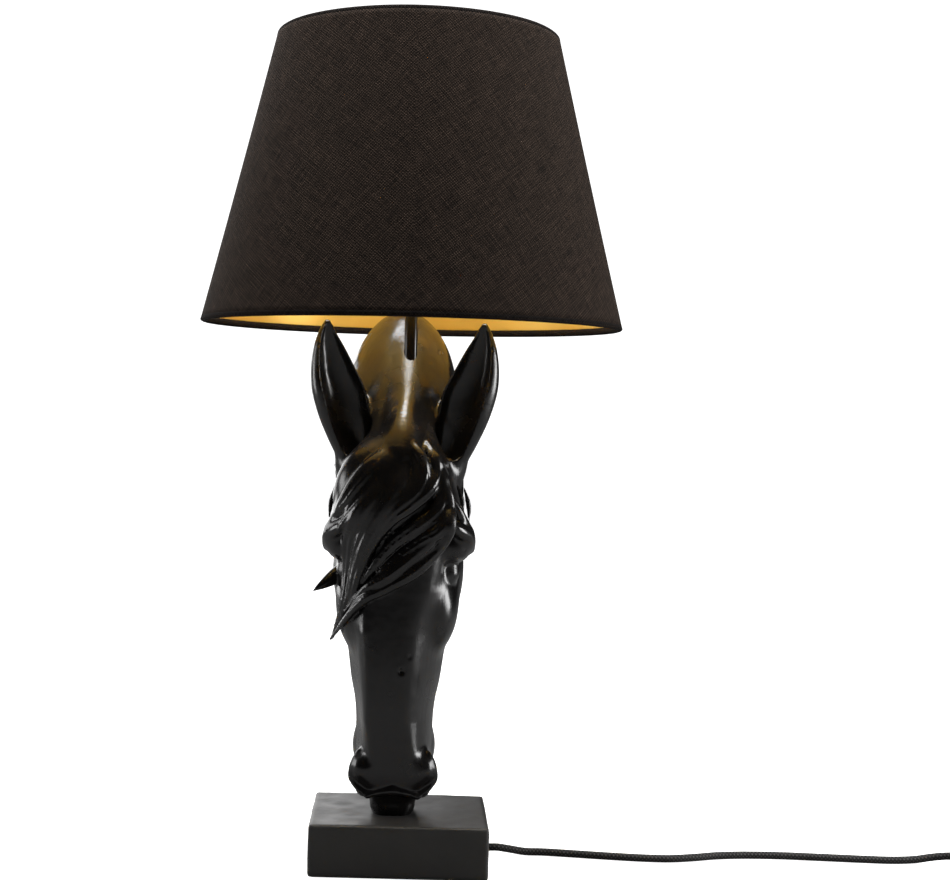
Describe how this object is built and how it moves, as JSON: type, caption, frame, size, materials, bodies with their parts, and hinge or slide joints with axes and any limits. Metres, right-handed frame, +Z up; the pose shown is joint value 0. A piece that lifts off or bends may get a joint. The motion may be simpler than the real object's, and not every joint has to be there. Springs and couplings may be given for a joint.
{
  "type": "table lamp",
  "caption": "Table lamp: a black cast horse head stands nose-down on a block plinth and carries a tapered fabric shade with a gold lining; braided flex with inline switch and plug.",
  "frame": {"origin": "on the floor under the felt pad, on the axis of the stem and the shade", "axes": "+Z up along the stem, -Y towards the front of the face, +X towards the side where the flex leaves the plinth"},
  "size_m": [0.843, 0.3594, 0.705],
  "materials": {
    "plinth": "satin",
    "head": "gloss",
    "stem": "gloss",
    "steel": "satin",
    "brass": "satin",
    "cap_metal": "satin",
    "black_plastic": "satin",
    "porcelain": "satin",
    "shade_fabric": "matte",
    "gold_liner": "satin",
    "felt": "matte",
    "flex_braid": "matte",
    "glass": "gloss"
  },
  "bodies": {
    "base": {"plinth": "plinth", "felt_pad": "felt", "base_cover": "steel", "rod_washer": "steel", "rod_nut": "steel", "threaded_rod": "steel", "inner_flex": "black_plastic", "cord_bushing": "black_plastic", "cord_clamp": "steel", "clamp_screw_1": "steel", "clamp_screw_2": "steel", "horse_head": "head", "stem_tube": "stem", "stem_lock_nut": "stem", "holder_cap": "black_plastic", "holder_body": "black_plastic", "holder_core": "porcelain", "centre_contact": "brass", "side_contact": "brass", "terminal_screw_1": "brass", "terminal_screw_2": "brass", "cord_lead": "flex_braid", "cord_link": "flex_braid", "cord_coil": "flex_braid", "cord_tail": "flex_braid", "coil_tie": "black_plastic", "switch_base": "black_plastic", "switch_cover": "black_plastic", "switch_screw_1": "steel", "switch_screw_2": "steel", "plug_body": "black_plastic", "plug_pin_1": "steel", "plug_pin_2": "steel", "cover_screw_1": "steel", "cover_screw_2": "steel", "cover_screw_3": "steel", "cover_screw_4": "steel"},
    "shade": {"shade_cover": "shade_fabric", "shade_liner": "gold_liner", "hem_bottom": "shade_fabric", "hem_top": "shade_fabric", "shade_wire_bottom": "steel", "shade_wire_top": "steel", "fitter_ring": "steel", "fitter_spoke_1": "steel", "fitter_spoke_2": "steel", "fitter_spoke_3": "steel"},
    "ring_lower": {"shade_ring_lower": "black_plastic"},
    "ring_upper": {"shade_ring_upper": "black_plastic"},
    "bulb": {"bulb_glass": "glass", "bulb_screw_cap": "cap_metal", "bulb_tip_contact": "brass", "bulb_filament_stem": "glass"},
    "rocker": {"switch_rocker": "black_plastic"}
  },
  "joints": [
    {"name": "shade_turn", "type": "hinge", "parent": "base", "child": "shade", "pos_m": [0, 0, 0.5865], "axis": [0, 0, 1], "continuous": true},
    {"name": "ring_lower_turn", "type": "hinge", "parent": "base", "child": "ring_lower", "pos_m": [0, 0, 0.583], "axis": [0, 0, 1], "continuous": true},
    {"name": "ring_upper_turn", "type": "hinge", "parent": "base", "child": "ring_upper", "pos_m": [0, 0, 0.595], "axis": [0, 0, 1], "continuous": true},
    {"name": "bulb_turn", "type": "hinge", "parent": "base", "child": "bulb", "pos_m": [0, 0, 0.6], "axis": [0, 0, 1], "continuous": true},
    {"name": "rocker_tip", "type": "hinge", "parent": "base", "child": "rocker", "pos_m": [0.519, 0.029, 0.0165], "axis": [0, 1, 0], "range_deg": [0, 12]}
  ]
}
